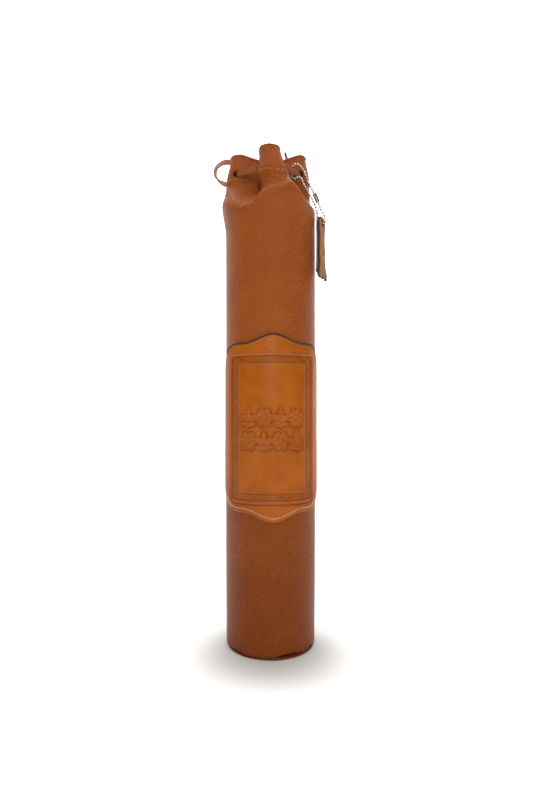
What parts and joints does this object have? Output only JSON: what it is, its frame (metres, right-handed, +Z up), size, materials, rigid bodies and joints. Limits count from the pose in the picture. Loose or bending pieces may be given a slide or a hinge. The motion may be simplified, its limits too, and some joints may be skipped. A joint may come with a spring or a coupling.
{
  "type": "leather drawstring scroll case",
  "caption": "Standing round leather case for a rolled scroll, with a gathered drawstring mouth, a stitched embossed front patch and a tag on a ball chain.",
  "frame": {"origin": "centre of the base disc's lower face, on the sleeve's axis", "axes": "+Z up along the sleeve to the mouth, -Y out of the middle of the front patch's side, +X towards the side with the ball chain and tags"},
  "size_m": [0.0796, 0.0641, 0.3411],
  "materials": {
    "sleeve_leather": "pebbled, satin",
    "facing_leather": "suede",
    "base_leather": "satin",
    "board": "matt card",
    "core_card": "matt card",
    "patch_leather": "smooth, embossed, satin",
    "cream_thread": "waxed thread",
    "dark_thread": "waxed thread",
    "lace_leather": "satin outside, suede inside",
    "chain_metal": "polished",
    "tag_leather": "suede",
    "white_card": "coated card"
  },
  "bodies": {
    "case": {"sleeve": "sleeve_leather", "mouth_facing": "facing_leather", "base_disc": "base_leather", "base_board": "board", "core_tube": "core_card", "front_patch": "patch_leather", "patch_stitching": "cream_thread", "patch_edge_stitching": "dark_thread", "hem_stitching_upper": "cream_thread", "hem_stitching_lower": "cream_thread", "back_seam_stitching": "cream_thread", "base_seam_stitching": "cream_thread", "lace_front": "lace_leather", "lace_back": "lace_leather", "lace_knot": "lace_leather", "lace_ends": "lace_leather", "chain_top": "chain_metal"},
    "pull_loop": {"lace_pull_loop": "lace_leather"},
    "chain": {"chain_strands": "chain_metal", "chain_connector": "chain_metal"},
    "tags": {"chain_bight": "chain_metal", "leather_tag": "tag_leather", "paper_card": "white_card"}
  },
  "joints": [
    {"name": "loop_draw", "type": "slide", "parent": "case", "child": "pull_loop", "axis": [-0.7071, 0.7071, 0], "range_m": [0, 0.009]},
    {"name": "chain_swing", "type": "hinge", "parent": "case", "child": "chain", "pos_m": [0.0225, -0.0117, 0.3176], "axis": [-0.6771, -0.7359, 0], "range_deg": [0, 45]},
    {"name": "tag_swing", "type": "hinge", "parent": "chain", "child": "tags", "pos_m": [0.0331, -0.0095, 0.297], "axis": [-0.6369, -0.771, 0], "range_deg": [0, 45]}
  ]
}
